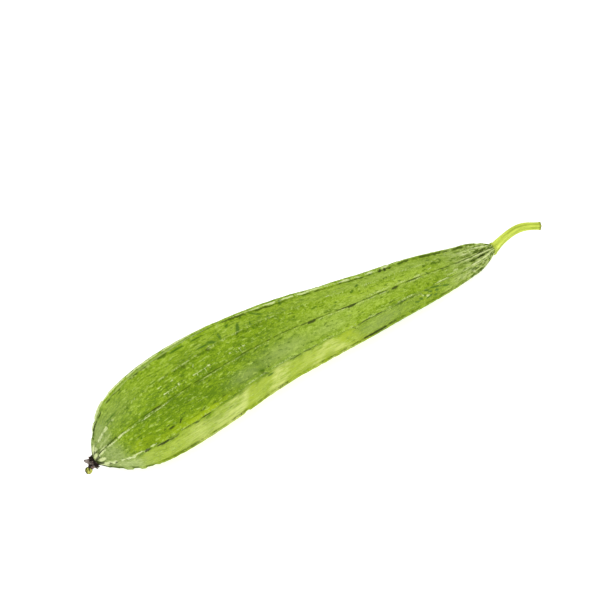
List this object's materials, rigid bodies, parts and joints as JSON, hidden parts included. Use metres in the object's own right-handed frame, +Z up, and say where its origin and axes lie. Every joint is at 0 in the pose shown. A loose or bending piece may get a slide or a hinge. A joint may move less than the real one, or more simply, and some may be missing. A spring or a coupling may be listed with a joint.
{
  "type": "ridge gourd",
  "caption": "Fresh ridge gourd as picked, lying on its side: long bowed fruit with raised lengthwise ribs, bent green stalk and the dried remnant of its flower.",
  "frame": {"origin": "on the floor, under the middle of the whole gourd's box, with its stalk and dried flower", "axes": "+X along the gourd from its flower end to its stalk end, +Z up as it lies, +Y towards the outer side of its bow"},
  "size_m": [0.322, 0.0554, 0.0534],
  "materials": {
    "gourd_skin": "satin",
    "gourd_stalk": "satin",
    "gourd_dried_flower": "matte"
  },
  "bodies": {
    "root": {"fruit": "gourd_skin", "stalk": "gourd_stalk", "dried_blossom": "gourd_dried_flower"}
  },
  "joints": []
}
